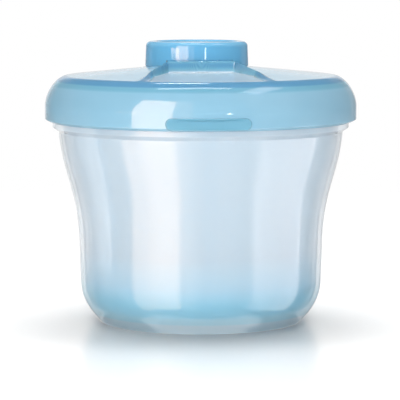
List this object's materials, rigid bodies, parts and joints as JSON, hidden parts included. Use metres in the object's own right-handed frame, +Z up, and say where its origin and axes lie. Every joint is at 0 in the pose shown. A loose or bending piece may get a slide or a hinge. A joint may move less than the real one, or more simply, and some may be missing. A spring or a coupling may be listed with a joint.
{
  "type": "formula dispenser",
  "caption": "Round travel pot for milk powder: flared cup, lift-out divider, domed turning lid with a pouring spout and a push-fit cap.",
  "frame": {"origin": "on the surface the pot stands on, on the cup's vertical axis", "axes": "+Z up along the cup's axis; -Y towards the thumb tab on the lid; +Y towards the spout"},
  "size_m": [0.104, 0.1052, 0.0925],
  "materials": {
    "cup": "frosted translucent polypropylene",
    "divider": "frosted translucent polypropylene",
    "seal": "soft translucent silicone",
    "lid": "glossy tinted polypropylene",
    "cap": "glossy tinted polypropylene"
  },
  "bodies": {
    "cup": {"cup": "cup"},
    "divider": {"divider": "divider"},
    "seal_ring": {"seal_ring": "seal"},
    "lid": {"lid": "lid"},
    "spout_cap": {"spout_cap": "cap"}
  },
  "joints": [
    {"name": "divider_lift", "type": "slide", "parent": "cup", "child": "divider", "axis": [0, 0, 1], "range_m": [0, 0.08]},
    {"name": "lid_lift", "type": "slide", "parent": "divider", "child": "seal_ring", "axis": [0, 0, 1], "range_m": [0, 0.04]},
    {"name": "lid_turn", "type": "hinge", "parent": "seal_ring", "child": "lid", "pos_m": [0, 0, 0.0789], "axis": [0, 0, 1], "continuous": true},
    {"name": "cap_pull", "type": "slide", "parent": "lid", "child": "spout_cap", "axis": [0, 0, 1], "range_m": [0, 0.025]}
  ]
}
